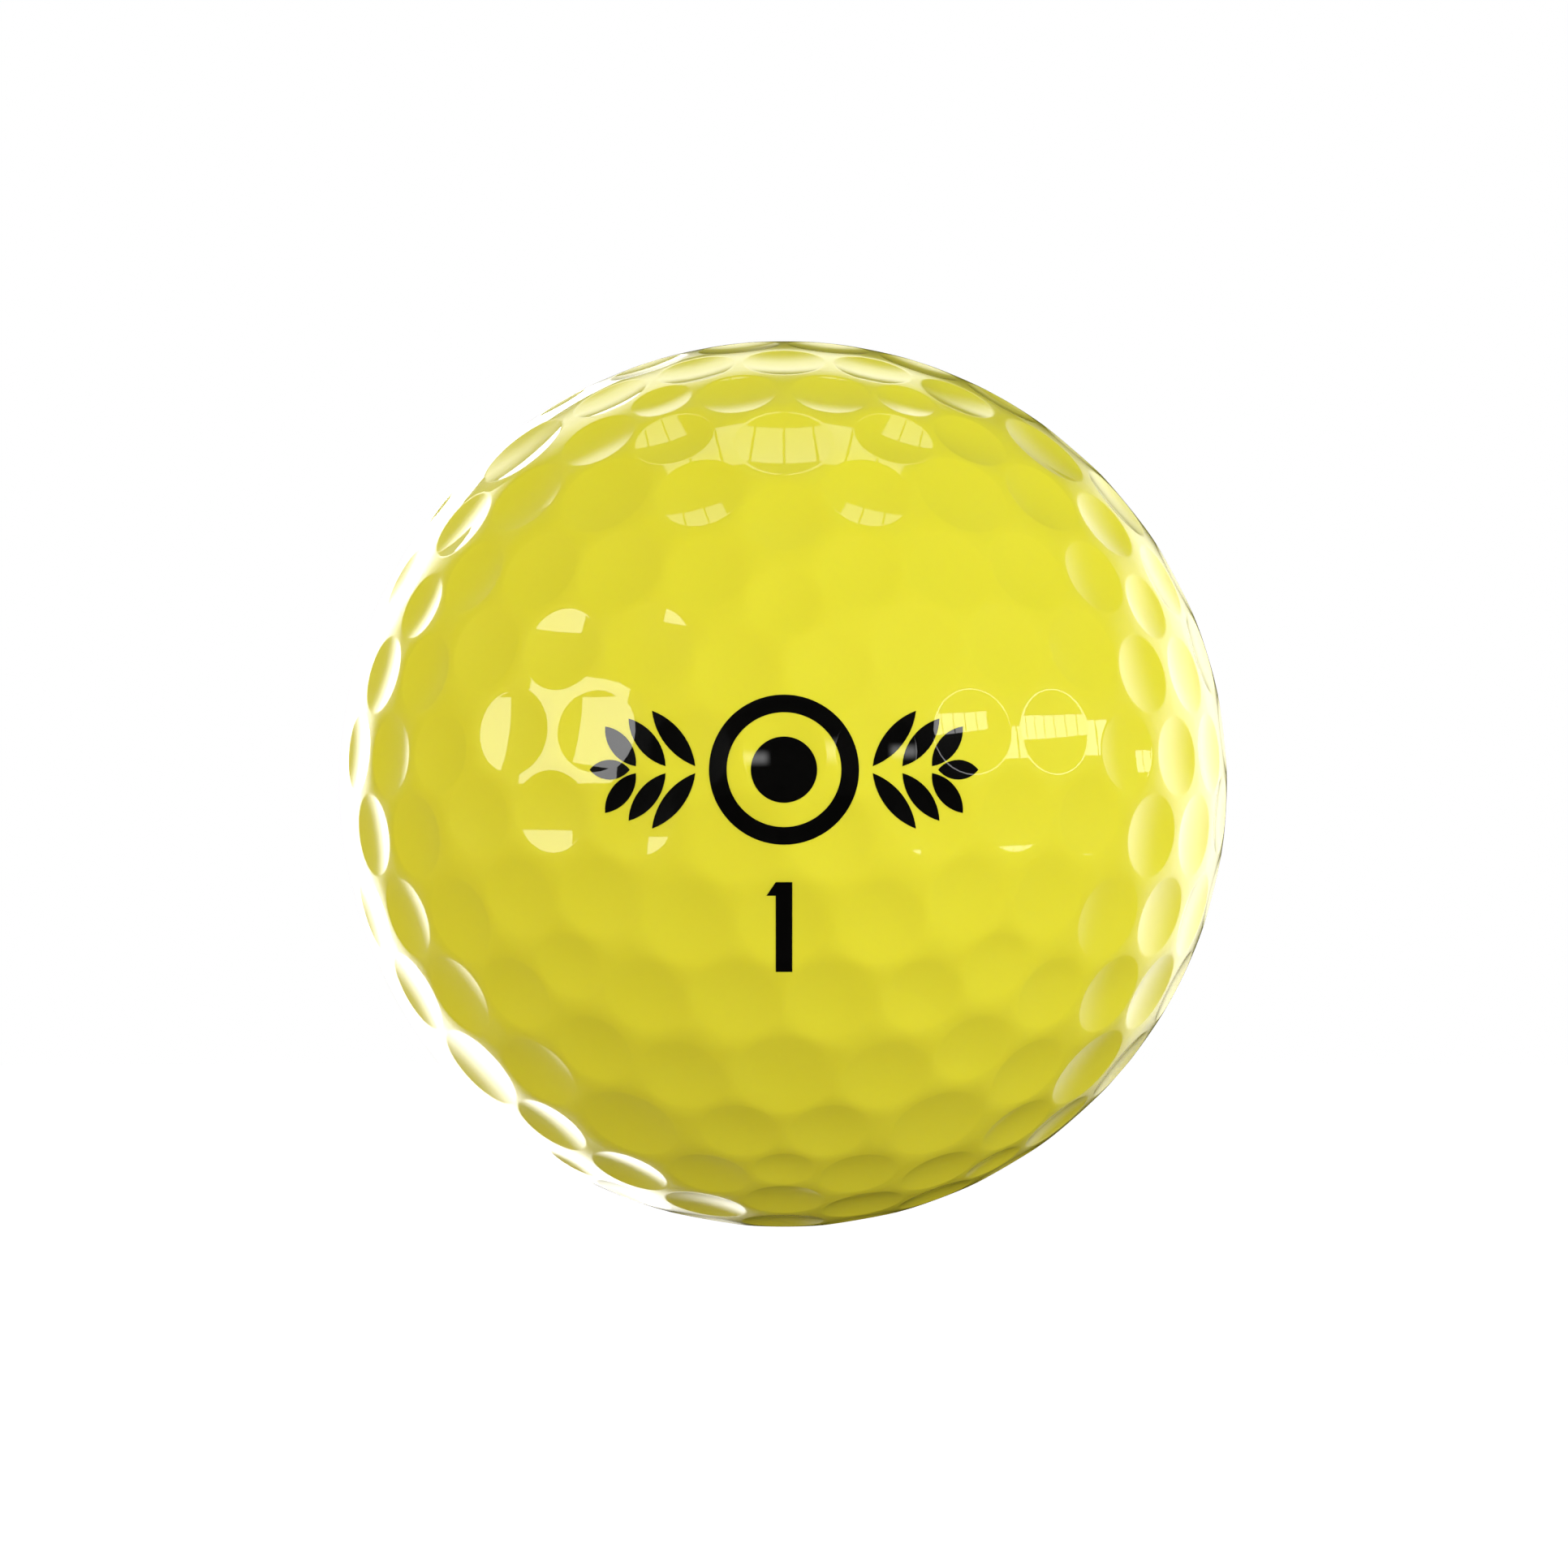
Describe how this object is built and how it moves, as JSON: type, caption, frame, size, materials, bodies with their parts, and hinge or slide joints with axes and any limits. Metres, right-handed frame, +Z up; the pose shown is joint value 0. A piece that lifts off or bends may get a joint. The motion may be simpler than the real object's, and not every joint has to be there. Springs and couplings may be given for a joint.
{
  "type": "golf ball",
  "caption": "Dimpled yellow golf ball with a rubber core, a mantle, a cast cover, and black pad-printed marks on front and rear.",
  "frame": {"origin": "centre of the ball", "axes": "-Y out through the front mark, +Z up through the upper pole dimple, +X to the right of the mark as it is read"},
  "size_m": [0.0426, 0.0428, 0.0424],
  "materials": {
    "core_rubber": "matt moulded rubber, ground smooth",
    "mantle_ionomer": "smooth satin moulded ionomer",
    "cover_urethane": "yellow cast urethane under a clear gloss topcoat",
    "print_ink": "black pad-printed ink under the same clear gloss topcoat"
  },
  "bodies": {
    "root": {"core": "core_rubber", "mantle": "mantle_ionomer", "cover": "cover_urethane", "front_mark": "print_ink", "front_number": "print_ink", "rear_mark": "print_ink", "rear_number": "print_ink"}
  },
  "joints": []
}
